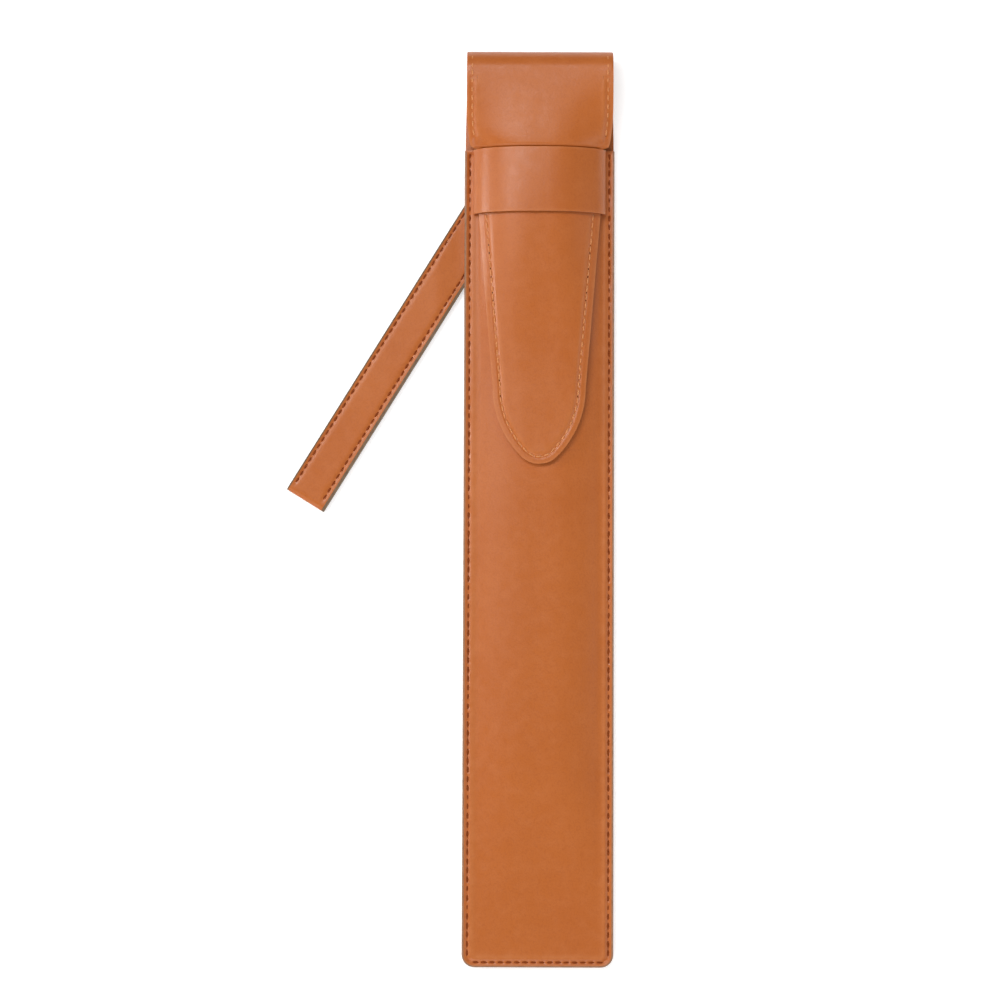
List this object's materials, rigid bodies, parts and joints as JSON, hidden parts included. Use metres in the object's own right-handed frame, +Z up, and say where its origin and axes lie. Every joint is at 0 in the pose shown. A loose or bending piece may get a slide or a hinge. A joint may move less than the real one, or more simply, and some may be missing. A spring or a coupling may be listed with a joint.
{
  "type": "fountain pen case",
  "caption": "Long flat leather pen sleeve with a fold-over flap whose tongue tucks under a cross band, and a slanted side strap.",
  "frame": {"origin": "middle of the back panel's outer face, on the case's centre line", "axes": "+X across the case, +Y along it from the bottom seam to the fold, +Z up from the back to the flap"},
  "size_m": [0.0725, 0.2025, 0.0098],
  "materials": {
    "case_leather": "smooth tan leather, satin",
    "case_lining": "fine brown lining",
    "thread": "waxed brown thread",
    "edge_paint": "satin greyish brown edge paint"
  },
  "bodies": {
    "pouch": {"back_panel": "case_leather", "front_panel": "case_leather", "retaining_band": "case_leather", "strap_tail": "case_leather", "back_lining": "case_lining", "front_lining": "case_lining", "front_stitches_left": "thread", "front_stitches_right": "thread", "front_stitches_bottom": "thread", "back_stitches_left": "thread", "back_stitches_right": "thread", "back_stitches_bottom": "thread", "edge_coat": "edge_paint"},
    "flap": {"flap_fold": "case_leather", "flap_fold_lining": "case_lining", "flap_cover": "case_leather", "flap_cover_lining": "case_lining", "flap_tongue": "case_leather", "flap_tongue_lining": "case_lining", "flap_stitches_left": "thread", "flap_stitches_right": "thread", "tongue_stitches": "thread"},
    "strap": {"strap_strip": "case_leather", "strap_stitches_left": "thread", "strap_stitches_right": "thread"}
  },
  "joints": [
    {"name": "flap_hinge", "type": "hinge", "parent": "pouch", "child": "flap", "pos_m": [0, 0.099, 0.0043], "axis": [-1, 0, 0], "range_deg": [0, 176], "deforming": ["flap_fold", "flap_fold_lining", "flap_tongue", "flap_tongue_lining", "tongue_stitches"]},
    {"name": "strap_swing", "type": "hinge", "parent": "pouch", "child": "strap", "pos_m": [-0.0187, 0.05694, 0.0013], "axis": [0, 1, 0], "range_deg": [-90, 90]}
  ]
}
